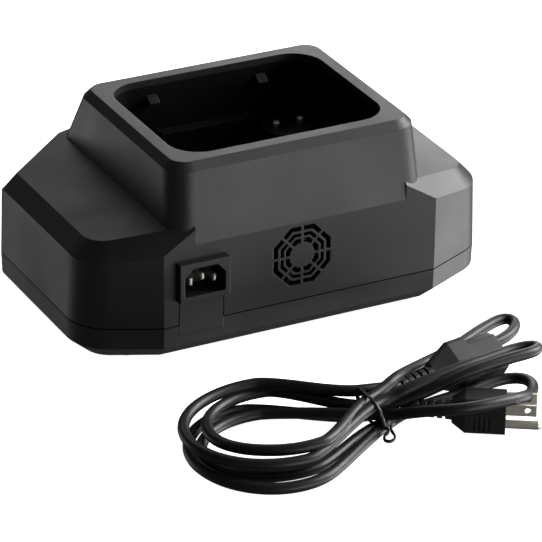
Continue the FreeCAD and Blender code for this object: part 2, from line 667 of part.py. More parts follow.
def fan_frame():
    y0, y1 = FAN_Y, FAN_Y + FAN_DEPTH
    half = FAN_SIZE / 2
    body = box(-half, half, y0, y1, FAN_Z - half, FAN_Z + half)
    corners = [edge for edge in body.Edges if edge.Length == FAN_DEPTH]
    body = body.makeFillet(2.5, corners)
    body = body.cut(cylinder(FAN_BORE_R, (0, y0 - 1, FAN_Z), (0, y1 + 1, FAN_Z)))
    mount = cylinder(HUB_R + 0.6, (0, y1 - 1.4, FAN_Z), (0, y1, FAN_Z))
    bearing = cylinder(2.4, (0, y1 - 5.0, FAN_Z), (0, y1, FAN_Z))
    struts = []
    for i in range(3):
        strut = box(0, FAN_BORE_R + 0.5, y1 - 1.4, y1, FAN_Z - 1.2, FAN_Z + 1.2)
        strut.rotate(FreeCAD.Vector(0, 0, FAN_Z), FreeCAD.Vector(0, 1, 0), 90 + i * 120.0)
        struts.append(strut)
    body = fused([body, mount, bearing] + struts)
    body = body.cut(cylinder(SHAFT_R + RUN_CLEAR, (0, y0, FAN_Z), (0, y1 - 0.8, FAN_Z)))
    for x in (-FAN_PITCH / 2, FAN_PITCH / 2):
        for z in (FAN_Z - FAN_PITCH / 2, FAN_Z + FAN_PITCH / 2):
            body = body.cut(cylinder(FAN_PIN_R + 0.15, (x, y0 - 1, z), (x, y1 + 1, z)))
    return body


def fan_rotor():
    y0, y1 = FAN_Y + 0.8, FAN_Y + FAN_DEPTH - 2.0
    hub = cylinder(HUB_R, (0, y0, FAN_Z), (0, y1, FAN_Z))
    hub = hub.cut(cylinder(HUB_R - 1.2, (0, y0 + 1.4, FAN_Z), (0, y1 + 1, FAN_Z)))
    shaft = cylinder(SHAFT_R, (0, y0 + 0.5, FAN_Z), (0, FAN_Y + FAN_DEPTH - 1.0, FAN_Z))
    ring = cylinder(ROTOR_R, (0, y0, FAN_Z), (0, y1, FAN_Z))
    blades = []
    for i in range(BLADES):
        blade = box(HUB_R - 0.8, ROTOR_R + 1, -7, 7, -0.5, 0.5)
        blade.rotate(FreeCAD.Vector(0, 0, 0), FreeCAD.Vector(1, 0, 0), BLADE_PITCH)
        blade.translate(FreeCAD.Vector(0, (y0 + y1) / 2, FAN_Z))
        blade.rotate(FreeCAD.Vector(0, 0, FAN_Z), FreeCAD.Vector(0, 1, 0), i * 360.0 / BLADES)
        blades.append(blade.common(ring))
    return fused([hub, shaft] + blades)


def fan_retainers():
    rings = []
    y = FAN_Y + FAN_DEPTH
    for x in (-FAN_PITCH / 2, FAN_PITCH / 2):
        for z in (FAN_Z - FAN_PITCH / 2, FAN_Z + FAN_PITCH / 2):
            washer = cylinder(3.6, (x, y, z), (x, y + 0.5, z))
            rings.append(washer.cut(cylinder(FAN_PIN_R, (x, y - 1, z), (x, y + 2, z))))
    return Part.makeCompound(rings)


def inlet_cavity():
    """The C14 opening: rectangle with its two upper corners cut off."""
    hw, hh = INLET_CAVITY_W / 2, INLET_CAVITY_H / 2
    cut_w, cut_h = 4.8, 5.2
    profile = [(-hw, -hh, 1.4), (hw, -hh, 1.4), (hw, hh - cut_h, 0.6), (hw - cut_w, hh, 0.6),
               (-hw + cut_w, hh, 0.6), (-hw, hh - cut_h, 0.6)]
    hole = Part.Face(wire(profile, 0)).extrude(FreeCAD.Vector(0, 0, INLET_CAVITY_DEEP))
    turn = FreeCAD.Rotation(FreeCAD.Vector(1, 0, 0), 90)
    back = FreeCAD.Vector(INLET_X, INLET_FRONT_Y + INLET_CAVITY_DEEP, INLET_Z)
    hole.Placement = FreeCAD.Placement(back, turn)
    return hole


def inlet_pin_places():
    return [(-BLADE_GAP, -1.0), (0.0, -1.0 + EARTH_UP), (BLADE_GAP, -1.0)]


def inlet_body():
    hw, hh = INLET_FLANGE_W / 2, INLET_FLANGE_H / 2
    flange = box(INLET_X - hw, INLET_X + hw, INLET_FRONT_Y, REAR_Y, INLET_Z - hh, INLET_Z + hh)
    bw, bh = INLET_BODY_W / 2, INLET_BODY_H / 2
    body = box(INLET_X - bw, INLET_X + bw, REAR_Y - 1, REAR_Y + INLET_BACK, INLET_Z - bh, INLET_Z + bh)
    shape = fused([flange, body]).cut(inlet_cavity())
    return shape.cut(inlet_pins())


def inlet_pins():
    pins = []
    for x, z in inlet_pin_places():
        px, pz = INLET_X + x, INLET_Z + z
        blade = box(px - 1.0, px + 1.0, INLET_FRONT_Y + 3.0, REAR_Y + INLET_BACK + 2, pz - 2.0, pz + 2.0)
        tip = [edge for edge in blade.Edges if edge.BoundBox.YMax < INLET_FRONT_Y + 3.1]
        blade = blade.makeChamfer(0.6, tip)
        tab = box(px - 0.4, px + 0.4, REAR_Y + INLET_BACK, REAR_Y + INLET_BACK + 9, pz - 2.4, pz + 2.4)
        pins.append(blade.fuse(tab))
    return Part.makeCompound(pins)


def main_board():
    half_w, half_d = BOARD_W / 2, BOARD_D / 2
    plan = rectangle(-half_w, half_w, BOARD_Y - half_d, BOARD_Y + half_d, 3.0)
    board = prism(plan, BOARD_Z, BOARD_Z + BOARD_T)
    for x, y in BOARD_PLACES:
        board = board.cut(cylinder(SCREW_R + 0.2, (x, y, BOARD_Z - 1), (x, y, BOARD_Z + BOARD_T + 1)))
    return board


def board_screws():
    top = BOARD_Z + BOARD_T
    return Part.makeCompound([screw(x, y, top, top - 7.0, -1) for x, y in BOARD_PLACES])


def transformer_core():
    """A laminated E-I stack: closed frame with a leg in the middle."""
    x0, x1 = CORE_X - CORE_W / 2, CORE_X + CORE_W / 2
    y0, y1 = CORE_Y - CORE_D / 2, CORE_Y + CORE_D / 2
    core = box(x0, x1, y0, y1, BOARD_TOP, BOARD_TOP + CORE_H)
    edge = CORE_LEG / 2
    for side in (-1, 1):
        a = CORE_X + side * CORE_LEG / 2
        b = CORE_X + side * (CORE_W / 2 - edge)
        core = core.cut(box(min(a, b), max(a, b), y0 - 1, y1 + 1,
                            BOARD_TOP + edge, BOARD_TOP + CORE_H - edge))
    return core


def transformer_winding():
    """The wound bobbin round the core's middle leg."""
    edge = CORE_LEG / 2
    z0, z1 = BOARD_TOP + edge, BOARD_TOP + CORE_H - edge
    leg = box(CORE_X - CORE_LEG / 2, CORE_X + CORE_LEG / 2, CORE_Y - CORE_D / 2, CORE_Y + CORE_D / 2, z0, z1)
    half = CORE_LEG / 2 + WINDING_OUT
    deep = CORE_D / 2 + WINDING_OUT
    plan = rectangle(CORE_X - half, CORE_X + half, CORE_Y - deep, CORE_Y + deep, 4.0)
    wound = prism(plan, z0 + BOBBIN_T, z1 - BOBBIN_T)
    wide, thick = half + 0.8, deep + 1.0
    rims = []
    for z in (z0, z1 - BOBBIN_T):
        rims.append(box(CORE_X - wide, CORE_X + wide, CORE_Y - thick, CORE_Y + thick, z, z + BOBBIN_T))
    return fused([wound] + rims).cut(leg)


def capacitors():
    """Three electrolytic cans, each with the pressed groove near its foot."""
    cans = []
    for x, radius, height in CAPACITORS:
        can = cylinder(radius, (x, PARTS_Y, BOARD_TOP), (x, PARTS_Y, BOARD_TOP + height))
        middle = FreeCAD.Vector(x, PARTS_Y, BOARD_TOP + CAN_GROOVE_UP)
        cans.append(can.cut(Part.makeTorus(radius + 0.3, CAN_GROOVE_R, middle, FreeCAD.Vector(0, 0, 1))))
    return Part.makeCompound(cans)


def line_filter():
    """A ring core wound with wire, lying flat on its base."""
    middle = FreeCAD.Vector(FILTER_X, PARTS_Y, BOARD_TOP + FILTER_WOUND_R + 1.8)
    ring = Part.makeTorus(FILTER_RING_R, FILTER_WOUND_R, middle, FreeCAD.Vector(0, 0, 1))
    half = FILTER_BASE / 2
    base = box(FILTER_X - half, FILTER_X + half, PARTS_Y - half, PARTS_Y + half,
               BOARD_TOP, BOARD_TOP + FILTER_BASE_T)
    return fused([ring, base])


def heatsink():
    """A plate across the board with fins toward the user's side."""
    x0, x1 = SINK_X - SINK_W / 2, SINK_X + SINK_W / 2
    plate = box(x0, x1, SINK_Y, SINK_Y + SINK_T, BOARD_TOP, BOARD_TOP + SINK_H)
    pitch = (SINK_W - 2 - FIN_T) / (SINK_FINS - 1)
    fins = []
    for i in range(SINK_FINS):
        x = x0 + 1 + i * pitch
        fins.append(box(x, x + FIN_T, SINK_Y + SINK_T - 0.5, SINK_Y + FIN_OUT, BOARD_TOP, BOARD_TOP + SINK_H))
    return fused([plate] + fins)


def power_transistors():
    """Two packages against the heatsink: metal tab, moulded case and three legs."""
    half = TRANSISTOR_W / 2
    packs = []
    for x in (SINK_X - TRANSISTOR_PITCH / 2, SINK_X + TRANSISTOR_PITCH / 2):
        tab = box(x - half, x + half, SINK_Y - 1.3, SINK_Y, BOARD_TOP + 6, BOARD_TOP + 22)
        case = box(x - half, x + half, SINK_Y - 4.5, SINK_Y - 1.2, BOARD_TOP + 6, BOARD_TOP + 15)
        legs = []
        for leg_x in (x - LEG_PITCH, x, x + LEG_PITCH):
            legs.append(box(leg_x - 0.4, leg_x + 0.4, SINK_Y - 2.8, SINK_Y - 2.2, BOARD_TOP, BOARD_TOP + 7))
        packs.append(fused([tab, case] + legs))
    return Part.makeCompound(packs)


def fuse_and_clips():
    """A glass fuse held by two clips."""
    z = BOARD_TOP + FUSE_UP
    half = FUSE_LONG / 2
    tube = cylinder(FUSE_R, (FUSE_X, FUSE_Y - half, z), (FUSE_X, FUSE_Y + half, z))
    clips = []
    for y in (FUSE_Y - half + 2, FUSE_Y + half - 2):
        clips.append(box(FUSE_X - 3.5, FUSE_X + 3.5, y - 2.5, y + 2.5, BOARD_TOP, z))
    return fused([tube] + clips)


def board_connectors():
    """Two headers: mains in from the inlet, and the fan's plug."""
    mains = box(-84.0, -66.0, -6.0, 4.0, BOARD_TOP, BOARD_TOP + 9)
    fan = box(-20.0, -10.0, -36.0, -30.0, BOARD_TOP, BOARD_TOP + 7)
    return Part.makeCompound([mains, fan])


def tube(points, diameter):
    """A round cord along straight runs joined by tangent arcs."""
    points = [FreeCAD.Vector(*point) for point in points]
    edges = []
    start = points[0]
    for before, corner, after in zip(points, points[1:], points[2:]):
        back = (before - corner)
        on = (after - corner)
        shorter = min(back.Length, on.Length)
        back.normalize()
        on.normalize()
        turn = math.pi - back.getAngle(on)
        reach = 0.45 * shorter
        radius = reach / math.tan(turn / 2)
        middle = (back + on).normalize()
        arc_in = corner + back * reach
        arc_out = corner + on * reach
        top = corner + middle * (radius / math.cos(turn / 2) - radius)
        edges.append(Part.LineSegment(start, arc_in).toShape())
        edges.append(Part.Arc(arc_in, top, arc_out).toShape())
        print("cord arc radius", round(radius, 1))
        start = arc_out
    edges.append(Part.LineSegment(start, points[-1]).toShape())
    path = Part.Wire(edges)
    along = points[1] - points[0]
    section = Part.Wire(Part.makeCircle(diameter / 2, points[0], along))
    solid = path.makePipeShell([section], True, False)
    print("cord length", round(path.Length, 1), "volume ratio",
          round(solid.Volume / (path.Length * math.pi * diameter ** 2 / 4), 3))
    return solid


def mains_wires():
    """Line, neutral and earth from the inlet's tabs to the board's header."""
    wires = []
    rear = REAR_Y + INLET_BACK + 9
    for i, (x, z) in enumerate(inlet_pin_places()):
        end_x = -80.0 + i * 5.0
        start = (INLET_X + x, rear, INLET_Z + z)
        route = [start, (INLET_X + x, rear + 14, INLET_Z + z), (end_x, rear + 34, 44.0 - 3 * (i == 1)),
                 (end_x, -1.0, 34.0), (end_x, -1.0, BOARD_TOP + 9)]
        wires.append(tube(route, 1.8))
    return wires


def indicator_board():
    board = slope_box(-22, 22, -7, 7, -WALL - 7.6, -WALL - 6.0)
    return board


def indicator_leds():
    lights = []
    for x in LENS_PLACES:
        lights.append(cylinder(1.5, on_slope(x, 0, -WALL - 6.0), on_slope(x, 0, -WALL - 1.6)))
    return Part.makeCompound(lights)


def indicator_lenses():
    lenses = []
    for x in LENS_PLACES:
        stem = cylinder(LENS_R - 0.05, on_slope(x, 0, -WALL), on_slope(x, 0, 0.4))
        back = cylinder(LENS_R + 1.0, on_slope(x, 0, -WALL - 1.2), on_slope(x, 0, -WALL))
        lenses.append(fused([stem, back]))
    return Part.makeCompound(lenses)


def laid(shape, start, angle, roll):
    """Turns a shape built along +X about its axis, then about Z, and sets it down."""
    shape.rotate(FreeCAD.Vector(0, 0, 0), FreeCAD.Vector(1, 0, 0), roll)
    shape.rotate(FreeCAD.Vector(0, 0, 0), FreeCAD.Vector(0, 0, 1), angle)
    shape.translate(FreeCAD.Vector(*start))
    return shape


def across(section, x0, x1):
    """A prism along X whose section (y, z, radius) is looked at from +X."""
    solid = Part.Face(wire(section, 0)).extrude(FreeCAD.Vector(0, 0, x1 - x0))
    solid.Placement = FreeCAD.Placement(FreeCAD.Vector(x0, 0, 0), ALONG_X)
    return solid


def relief_shape():
    """A tapered sleeve with rings round it, from x = 0."""
    core = Part.makeCone(CORD_D / 2 + 1.0, CORD_D / 2 + 2.4, RELIEF_LONG, FreeCAD.Vector(0, 0, 0),
                         FreeCAD.Vector(1, 0, 0))
    for i in range(4):
        x = 2.5 + i * 4.2
        ring = cylinder(9, (x, 0, 0), (x + 1.6, 0, 0))
        ring = ring.cut(cylinder(CORD_D / 2 + 0.9, (x, 0, 0), (x + 1.6, 0, 0)))
        for side in (-1, 1):
            core = core.cut(ring.common(box(x - 1, x + 3, -9, 9, *sorted((side * 1.4, side * 9)))))
    return core


def connector_section(width, height):
    hw, hh = width / 2, height / 2
    return [(-hw, -hh, 1.5), (hw, -hh, 1.5), (hw, hh - 5, 1),
            (hw - 5, hh, 1), (-hw + 5, hh, 1), (-hw, hh - 5, 1)]


def connector_back():
    """The grip: from the sleeve's end it widens to the inserted part's shoulder."""
    start = RELIEF_LONG
    low = rectangle(-6.0, 6.0, -5.5, 5.5, 3.0)
    high = rectangle(-CONNECTOR_W / 2, CONNECTOR_W / 2, -CONNECTOR_H / 2, CONNECTOR_H / 2, 3.0)
    taper = frustum(low, 0, high, 15.0)
    block = prism(high, 15.0, CONNECTOR_BACK)
    body = fused([taper, block])
    body.Placement = FreeCAD.Placement(FreeCAD.Vector(start, 0, 0), ALONG_X)
    return body


def connector_body():
    start = RELIEF_LONG + CONNECTOR_BACK
    nose = across(connector_section(CONNECTOR_W - 2, CONNECTOR_H - 1.6), start - 0.5, start + CONNECTOR_NOSE)
    body = fused([connector_back(), nose])
    return laid(body.cut(contact_slots(True)), RELIEF_START, CONNECTOR_ANGLE, CONNECTOR_ROLL)


def contact_slots(open_end):
    """The three slots of the lead's connector, or the sockets that line them."""
    end = RELIEF_LONG + CONNECTOR_BACK + CONNECTOR_NOSE
    slots = []
    for x, z in ((-BLADE_GAP, -1.0), (0.0, 1.5), (BLADE_GAP, -1.0)):
        slots.append(box(end - 16, end + (1 if open_end else -3), x - 1.3, x + 1.3, z - 2.4, z + 2.4))
    return Part.makeCompound(slots)


def connector_sockets():
    slots = contact_slots(False)
    inner = []
    end = RELIEF_LONG + CONNECTOR_BACK + CONNECTOR_NOSE
    for x, z in ((-BLADE_GAP, -1.0), (0.0, 1.5), (BLADE_GAP, -1.0)):
        inner.append(box(end - 15.4, end, x - 1.02, x + 1.02, z - 2.05, z + 2.05))
    return laid(slots.cut(Part.makeCompound(inner)), RELIEF_START, CONNECTOR_ANGLE, CONNECTOR_ROLL)


def connector_relief():
    return laid(relief_shape(), RELIEF_START, CONNECTOR_ANGLE, CONNECTOR_ROLL)


def plug_relief():
    return laid(relief_shape(), PLUG_START, PLUG_ANGLE, 0)


def plug_body():
    low = rectangle(-5.5, 5.5, -6.0, 6.0, 3.0)
    high = rectangle(-PLUG_W / 2, PLUG_W / 2, -PLUG_H / 2, PLUG_H / 2, 3.5)
    body = fused([frustum(low, 0, high, 7.0), prism(high, 7.0, PLUG_BODY - RELIEF_LONG / 4)])
    body.Placement = FreeCAD.Placement(FreeCAD.Vector(RELIEF_LONG, 0, 0), ALONG_X)
    grips = []
    for i in range(4):
        x = RELIEF_LONG + 11 + i * 2.6
        for side in (-1, 1):
            y = side * PLUG_W / 2
            grips.append(box(x, x + 1.1, min(y, y - side * 0.7), max(y, y - side * 0.7), -7, 1))
    body = body.cut(Part.makeCompound(grips))
    body = laid(body, PLUG_START, PLUG_ANGLE, 0)
    return body.cut(plug_blades()).cut(plug_ground())


def plug_blades():
    face = RELIEF_LONG + PLUG_BODY - RELIEF_LONG / 4
    blades = []
    up = GROUND_DOWN / 2
    for side in (-1, 1):
        y = side * BLADE_HALF_GAP
        z0, z1 = up - BLADE_TALL / 2 - 1.0, up + BLADE_TALL / 2 - 1.0
        blade = box(face - 9, face + BLADE_LONG, y - BLADE_THICK / 2, y + BLADE_THICK / 2, z0, z1)
        tip = [edge for edge in blade.Edges if edge.BoundBox.XMin > face + BLADE_LONG - 0.1]
        blade = blade.makeChamfer(0.5, tip)
        x = face + BLADE_LONG - 5
        blades.append(blade.cut(cylinder(1.6, (x, y - 2, up - 1.0), (x, y + 2, up - 1.0))))
    return laid(Part.makeCompound(blades), PLUG_START, PLUG_ANGLE, 0)


def plug_ground():
    face = RELIEF_LONG + PLUG_BODY - RELIEF_LONG / 4
    z = -GROUND_DOWN / 2 - 1.0
    pin = cylinder(GROUND_R, (face - 9, 0, z), (face + GROUND_LONG - 2, 0, z))
    tip = FreeCAD.Vector(face + GROUND_LONG - 2, 0, z)
    nose = Part.makeCone(GROUND_R, GROUND_R * 0.5, 2.0, tip, FreeCAD.Vector(1, 0, 0))
    return laid(pin.fuse(nose).removeSplitter(), PLUG_START, PLUG_ANGLE, 0)


def far_loop():
    """The long loop that lies on the table behind the connector."""
    x = LOOP_ROOT_X
    return [(x, -171.6, 4.6), (22, -153, 4.2), (97, -113, 4.2), (106, -130, 4.2), (72, -139, 4.2),
            (24, -155.5, 4.2), (x, -172.5, 4.4)]


def high_loop():
    """The loop that stands clear of the table over the connector's grip."""
    x = LOOP_ROOT_X
    return [(x, -177.8, 15.2), (14, -181, 19.6), (44, -181, 25.2), (84, -176, 25.6), (84, -186, 25.0),
            (44, -187.6, 24.6), (14, -187.4, 19.0), (x, -184.2, 15.0)]


def near_loop():
    """The loop that starts on the table and comes back over the plug."""
    x = LOOP_ROOT_X
    return [(x, -181, 5.0), (34, -180, 4.4), (68, -180, 4.4), (80, -194, 9.0), (66, -214.5, 23.0),
            (40, -224, 24.0), (12, -221, 22.5), (x, -190, 15.0)]


def fan_of_turns():
    """The wide turns on the other side of the tie, as one flat ring with a hole."""
    ring = [(-20, -188, 4), (-40, -214, 20), (-84, -231, 24), (-116, -206, 20), (-118, -162, 20),
            (-96, -126, 18), (-55, -130, 20), (-20, -169, 4)]
    hole = [(-66, -193, 12), (-86, -194, 10), (-96, -170, 8), (-92, -148, 8), (-66, -151, 12), (-42, -177, 4)]
    turns = prism(ring[::-1], LEAD_LIFT, HANK_TOP)
    return turns.cut(prism(hole[::-1], 0, HANK_TOP + 1))


def lead_hank():
    """The tied cord as one closed shape: a fan of turns, the tied neck and three loops."""
    x, y = TIE_PLACE
    section = rectangle(y - BUNDLE_W / 2, y + BUNDLE_W / 2, LEAD_LIFT, BUNDLE_H, 4.0)
    neck = across(section, x - NECK_BACK, x + NECK_ON)
    loops = [tube(route, CORD_D) for route in (far_loop(), high_loop(), near_loop())]
    return fused([fan_of_turns(), neck] + loops)


def lead_tie():
    """A flat tie round the neck, its two ends twisted into an eyelet."""
    x, y = TIE_PLACE
    outer = rectangle(y - BUNDLE_W / 2 - TIE_T, y + BUNDLE_W / 2 + TIE_T, LEAD_LIFT, BUNDLE_H + TIE_T, 4.8)
    inner = rectangle(y - BUNDLE_W / 2, y + BUNDLE_W / 2, LEAD_LIFT, BUNDLE_H, 4.0)
    band = across(outer, x - TIE_W / 2, x + TIE_W / 2).cut(across(inner, x - TIE_W, x + TIE_W))
    return band


def check_and_write(nodes):
    os.makedirs("parts", exist_ok=True)
    for name, shape in nodes.items():
        if not shape.isValid() or not shape.Solids:
            raise ValueError(name + " is not a valid solid")
        shape.exportStep("parts/" + name + ".step")
        print(name, len(shape.Solids), "solid(s)", round(shape.Volume / 1000, 2), "cm3")


def all_nodes():
    line, earth, neutral = mains_wires()
    left, right = PIN_PLACES
    return {
        "upper_case": upper_case(),
        "lower_case": lower_case(),
        "rubber_feet": rubber_feet(),
        "case_screws": case_screws(),
        "well_liner": well_liner(),
        "contact_boss": contact_boss(),
        "contact_seat": contact_seat(),
        "contact_pin_left": contact_pin(left),
        "contact_pin_right": contact_pin(right),
        "contact_spring_left": contact_spring(left),
        "contact_spring_right": contact_spring(right),
        "latch_left": latch(-LATCH_X),
        "latch_right": latch(LATCH_X),
        "latch_spring_left": latch_spring(-LATCH_X),
        "latch_spring_right": latch_spring(LATCH_X),
        "fan_frame": fan_frame(),
        "fan_rotor": fan_rotor(),
        "fan_retainers": fan_retainers(),
        "inlet_body": inlet_body(),
        "inlet_pins": inlet_pins(),
        "main_board": main_board(),
        "board_screws": board_screws(),
        "transformer_core": transformer_core(),
        "transformer_winding": transformer_winding(),
        "capacitors": capacitors(),
        "line_filter": line_filter(),
        "heatsink": heatsink(),
        "power_transistors": power_transistors(),
        "fuse": fuse_and_clips(),
        "board_connectors": board_connectors(),
        "wire_line": line,
        "wire_earth": earth,
        "wire_neutral": neutral,
        "indicator_board": indicator_board(),
        "indicator_leds": indicator_leds(),
        "indicator_lenses": indicator_lenses(),
        "lead_connector_body": connector_body(),
        "lead_connector_sockets": connector_sockets(),
        "lead_connector_relief": connector_relief(),
        "lead_plug_body": plug_body(),
        "lead_plug_blades": plug_blades(),
        "lead_plug_ground": plug_ground(),
        "lead_plug_relief": plug_relief(),
        "lead_hank": lead_hank(),
        "lead_tie": lead_tie(),
    }


check_and_write(all_nodes())
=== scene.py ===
import json
import math

import bpy
import numpy as np
from mathutils import Matrix, Vector


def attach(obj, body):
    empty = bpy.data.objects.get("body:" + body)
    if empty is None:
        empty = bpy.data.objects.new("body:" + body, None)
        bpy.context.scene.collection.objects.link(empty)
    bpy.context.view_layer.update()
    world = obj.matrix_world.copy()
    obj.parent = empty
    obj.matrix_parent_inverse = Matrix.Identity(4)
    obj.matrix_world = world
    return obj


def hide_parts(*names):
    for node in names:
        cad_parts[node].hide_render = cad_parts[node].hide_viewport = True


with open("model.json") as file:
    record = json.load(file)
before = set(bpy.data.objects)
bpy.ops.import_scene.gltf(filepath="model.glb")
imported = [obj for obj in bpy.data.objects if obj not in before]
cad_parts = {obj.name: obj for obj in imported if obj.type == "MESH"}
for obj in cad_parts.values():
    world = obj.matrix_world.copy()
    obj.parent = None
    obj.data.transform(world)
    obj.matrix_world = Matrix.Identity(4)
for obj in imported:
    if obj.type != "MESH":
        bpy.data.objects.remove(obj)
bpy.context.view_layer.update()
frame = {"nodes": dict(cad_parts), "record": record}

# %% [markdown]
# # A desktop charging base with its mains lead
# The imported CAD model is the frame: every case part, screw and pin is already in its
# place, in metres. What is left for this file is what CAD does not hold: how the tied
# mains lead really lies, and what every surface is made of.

nodes = frame["nodes"]

# %% [markdown]
# ## Camera
# A product is usually shown through a long lens from a few metres away, which keeps its
# edges almost parallel. The camera stands left of and above the rear face, about two
# metres off, and rolls by less than a degree. Its turn is built from three directions:
# right, up and back.

# %% Camera
CAMERA_PLACE = Vector((-0.8402, -1.6573, 0.9333))
CAMERA_BACK = Vector((-0.41225, -0.79410, 0.44661)).normalized()
CAMERA_ROLL = math.radians(0.70)
LENS_MM = 247.5


def camera_turn(back, roll):
    """Columns are the camera's right, up and back; the roll turns the first two."""
    right = Vector((-back.y, back.x, 0.0)).normalized()
    up = back.cross(right)
    rolled_right = right * math.cos(roll) + up * math.sin(roll)
    rolled_up = up * math.cos(roll) - right * math.sin(roll)
    return Matrix((rolled_right, rolled_up, back)).transposed()


camera = bpy.data.objects.new("studio_camera", bpy.data.cameras.new("studio_camera"))
camera.data.lens = LENS_MM
camera.data.sensor_width = 36.0
camera.data.clip_end = 20.0
camera.matrix_world = Matrix.Translation(CAMERA_PLACE) @ camera_turn(CAMERA_BACK, CAMERA_ROLL).to_4x4()
bpy.context.collection.objects.link(camera)
bpy.context.scene.camera = camera
print("camera looks along", [round(-v, 3) for v in CAMERA_BACK])

# %% [markdown]
# ## The mains lead
# A lead like this is one round PVC cable. It is folded to and fro in long loops and tied
# in the middle, so it looks like a loose figure of eight: four wide turns on one side of
# the tie and three long loops on the other. Seven separate rings would be simpler, but a
# cable has one centreline, so the whole lead is one spline that passes the tie eight
# times. Each pass has its own place in the bundle, which has three rows of two or three.

# %% Bundle
CORD_DIAMETER = 0.0062
TIE_X = -0.015
TIE_RIGHT = 0.008                # from the tie to the points on its two sides
TIE_LEFT = 0.009
BUNDLE = {                       # each strand's place in the tied bundle, y and z
    "lead": (-0.1715, 0.0160), "far_out": (-0.1780, 0.0162), "high_out": (-0.1845, 0.0160),
    "high_back": (-0.1770, 0.0098), "near_back": (-0.1866, 0.0098),
    "far_back": (-0.1780, 0.0034), "plug": (-0.1844, 0.0034), "near_out": (-0.1908, 0.0034),
}
CONNECTOR_END = (0.0089, -0.1695, 0.0127)
PLUG_END = (0.0061, -0.1886, 0.0102)


def through_tie(strand, lean_left, lean_right):
    """Two points that carry a strand through its place, from right to left.

    The leans are how far it has drifted in y where it enters and leaves."""
    y, z = BUNDLE[strand]
    return [(TIE_X + TIE_RIGHT, y + lean_right, z), (TIE_X - TIE_LEFT, y + lean_left, z)]


print(len(BUNDLE), "strands pass the tie")

# %% [markdown]
# ### Wide turns
# A cable springs open beyond its tie, and the turns of a bundle fan out because each is a
# little wider or narrower than the next. An oval is close to that springy curve, and it
# needs only a centre and two half sizes. Part of the oval is left open towards the tie.


# %% Wide turns
def turn(centre, half_length, half_width, heights, start=70.0, end=300.0, samples=14):
    """An oval turn that leaves the tie on its far side and comes back on its near side.

    x and y follow an ellipse between the two angles, in degrees; the height is read from
    a few values spread evenly over them."""
    angle = np.radians(np.linspace(start, end, samples))
    x = centre[0] + half_length * np.cos(angle)
    y = centre[1] + half_width * np.sin(angle)
    z = np.interp(np.linspace(0, 1, samples), np.linspace(0, 1, len(heights)), heights)
    return [tuple(float(v) for v in point) for point in zip(x, y, z)]


TURN_TOP = turn((-0.0700, -0.1760), 0.0465, 0.0400, [0.0150, 0.0135, 0.0130, 0.0120, 0.0115],
                end=278.0)
TURN_INNER = turn((-0.0620, -0.1745), 0.0405, 0.0370, [0.0095, 0.0095, 0.0110, 0.0150, 0.0170],
                  end=282.0)
TURN_OUTER = turn((-0.0760, -0.1830), 0.0400, 0.0425, [0.0034, 0.0034, 0.0034, 0.0034, 0.0036])
TURN_SMALL = turn((-0.0710, -0.1810), 0.0385, 0.0325, [0.0036, 0.0034, 0.0034, 0.0034, 0.0036],
                  end=292.0)
print("points in a wide turn:", len(TURN_TOP))

# %% [markdown]
# ### Long loops
# On the other side the loops are slim and no two are alike: one lies on the table beyond
# the connector, one passes high over it, and one comes round the plug. Their points are
# listed one by one, because a formula would make them look too regular. The tip of the high
# loop is bent tighter than a real cable of this thickness would bend.

# %% Long loops
LOOP_FAR = [(0.0060, -0.1700, 0.0190), (0.0240, -0.1530, 0.0110), (0.0600, -0.1340, 0.0055),
            (0.0900, -0.1165, 0.0042), (0.1060, -0.1110, 0.0042), (0.1095, -0.1190, 0.0042),
            (0.0985, -0.1310, 0.0042), (0.0780, -0.1370, 0.0042), (0.0480, -0.1450, 0.0042),
            (0.0200, -0.1580, 0.0042), (0.0050, -0.1680, 0.0050)]
LOOP_HIGH = [(0.0040, -0.1865, 0.0210), (0.0340, -0.1845, 0.0245), (0.0580, -0.1800, 0.0240),
             (0.0745, -0.1765, 0.0235), (0.0845, -0.1800, 0.0245), (0.0795, -0.1900, 0.0270),
             (0.0600, -0.1915, 0.0275), (0.0340, -0.1925, 0.0255), (0.0080, -0.1870, 0.0150)]
LOOP_NEAR = [(0.0100, -0.1800, 0.0040), (0.0420, -0.1770, 0.0040), (0.0660, -0.1720, 0.0042),
             (0.0780, -0.1760, 0.0050), (0.0770, -0.1910, 0.0090), (0.0640, -0.2110, 0.0150),
             (0.0480, -0.2215, 0.0215), (0.0180, -0.2245, 0.0240), (0.0000, -0.2100, 0.0200)]
print("points in the long loops:", [len(loop) for loop in (LOOP_FAR, LOOP_HIGH, LOOP_NEAR)])

# %% [markdown]
# ### One spline
# The strands, turns and loops are joined in the order in which the cable runs. A NURBS
# curve of order 3 stays smooth between control points and never swings past them, which
# suits a stiff cable. The curve's own bevel gives it its thickness, point by point. No
# simulation settles the cord, so near the tie some strands run a little into each other.


# %% One spline
def lead_route():
    """The whole centreline from the connector's sleeve to the plug's sleeve."""
    route = [CONNECTOR_END] + through_tie("lead", 0.004, 0.0) + TURN_TOP
    route += through_tie("high_out", -0.006, 0.0)[::-1] + LOOP_HIGH
    route += through_tie("high_back", 0.006, -0.003) + TURN_INNER
    route += through_tie("far_out", -0.006, 0.002)[::-1] + LOOP_FAR
    route += through_tie("far_back", 0.005, 0.002) + TURN_OUTER
    route += through_tie("near_out", -0.006, 0.004)[::-1] + LOOP_NEAR
    route += through_tie("near_back", 0.006, -0.004) + TURN_SMALL
    route += through_tie("plug", -0.006, -0.001)[::-1] + [PLUG_END]
    return route


